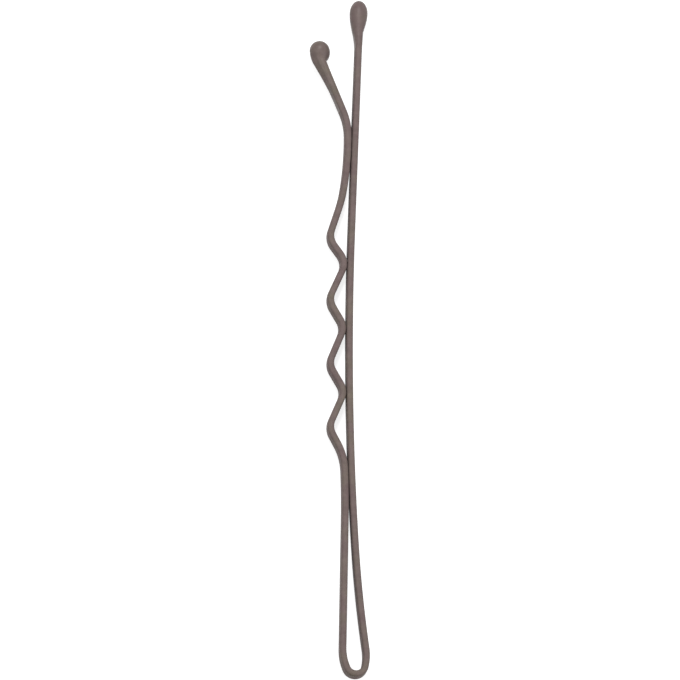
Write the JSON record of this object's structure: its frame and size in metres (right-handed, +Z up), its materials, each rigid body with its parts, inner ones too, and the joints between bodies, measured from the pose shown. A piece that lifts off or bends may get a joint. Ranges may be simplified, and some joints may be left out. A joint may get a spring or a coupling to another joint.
{
  "type": "bobby pin",
  "caption": "Sprung wire hair grip with a straight leg, a crimped leg with a flared toe, and rounded resin tips.",
  "frame": {"origin": "centre of the box in the plan, on the level of the table that the pin lies on", "axes": "+Y from the bend towards the tips, +X towards the straight leg, +Z up across the width of the wire"},
  "size_m": [0.0044, 0.0504, 0.0014],
  "materials": {
    "wire": "satin taupe enamel",
    "tip": "satin taupe resin"
  },
  "bodies": {
    "bend": {"bend": "wire"},
    "crimped_shank": {"crimped_shank": "wire"},
    "crimps": {"crimps": "wire"},
    "toe": {"toe": "wire", "ball_tip": "tip"},
    "straight_root": {"straight_root": "wire"},
    "straight_bow": {"straight_bow": "wire", "straight_bow_top": "wire"},
    "straight_end": {"straight_end": "wire", "drop_tip": "tip"}
  },
  "joints": [
    {"name": "crimped_leg_flex", "type": "hinge", "parent": "bend", "child": "crimped_shank", "pos_m": [0.00022, -0.02303, 0.00072], "axis": [0, 0, 1], "range_deg": [0, 2.8], "stiffness_Nm_per_rad": 0.25},
    {"name": "crimps_flex", "type": "hinge", "parent": "crimped_shank", "child": "crimps", "pos_m": [0.00035, -0.0098, 0.00072], "axis": [0, 0, 1], "range_deg": [0, 3.8]},
    {"name": "toe_flex", "type": "hinge", "parent": "crimps", "child": "toe", "pos_m": [-0.00066, 0.00753, 0.00072], "axis": [0, 0, 1], "range_deg": [0, 2.55]},
    {"name": "straight_leg_flex", "type": "hinge", "parent": "bend", "child": "straight_root", "pos_m": [0.00188, -0.02301, 0.00072], "axis": [0, 0, -1], "range_deg": [0, 2.85]},
    {"name": "straight_bow_flex", "type": "hinge", "parent": "straight_root", "child": "straight_bow", "pos_m": [0.00085, -0.00978, 0.00072], "axis": [0, 0, -1], "range_deg": [0, 3.8]},
    {"name": "straight_end_flex", "type": "hinge", "parent": "straight_bow", "child": "straight_end", "pos_m": [0.00086, 0.00787, 0.00072], "axis": [0, 0, -1], "range_deg": [0, 2.55]}
  ],
  "couplings": [
    {"joint": "crimps_flex", "follows": "crimped_leg_flex", "ratio": 1.35},
    {"joint": "toe_flex", "follows": "crimped_leg_flex", "ratio": 0.9},
    {"joint": "straight_leg_flex", "follows": "crimped_leg_flex", "ratio": 1},
    {"joint": "straight_bow_flex", "follows": "crimped_leg_flex", "ratio": 1.35},
    {"joint": "straight_end_flex", "follows": "crimped_leg_flex", "ratio": 0.9}
  ]
}
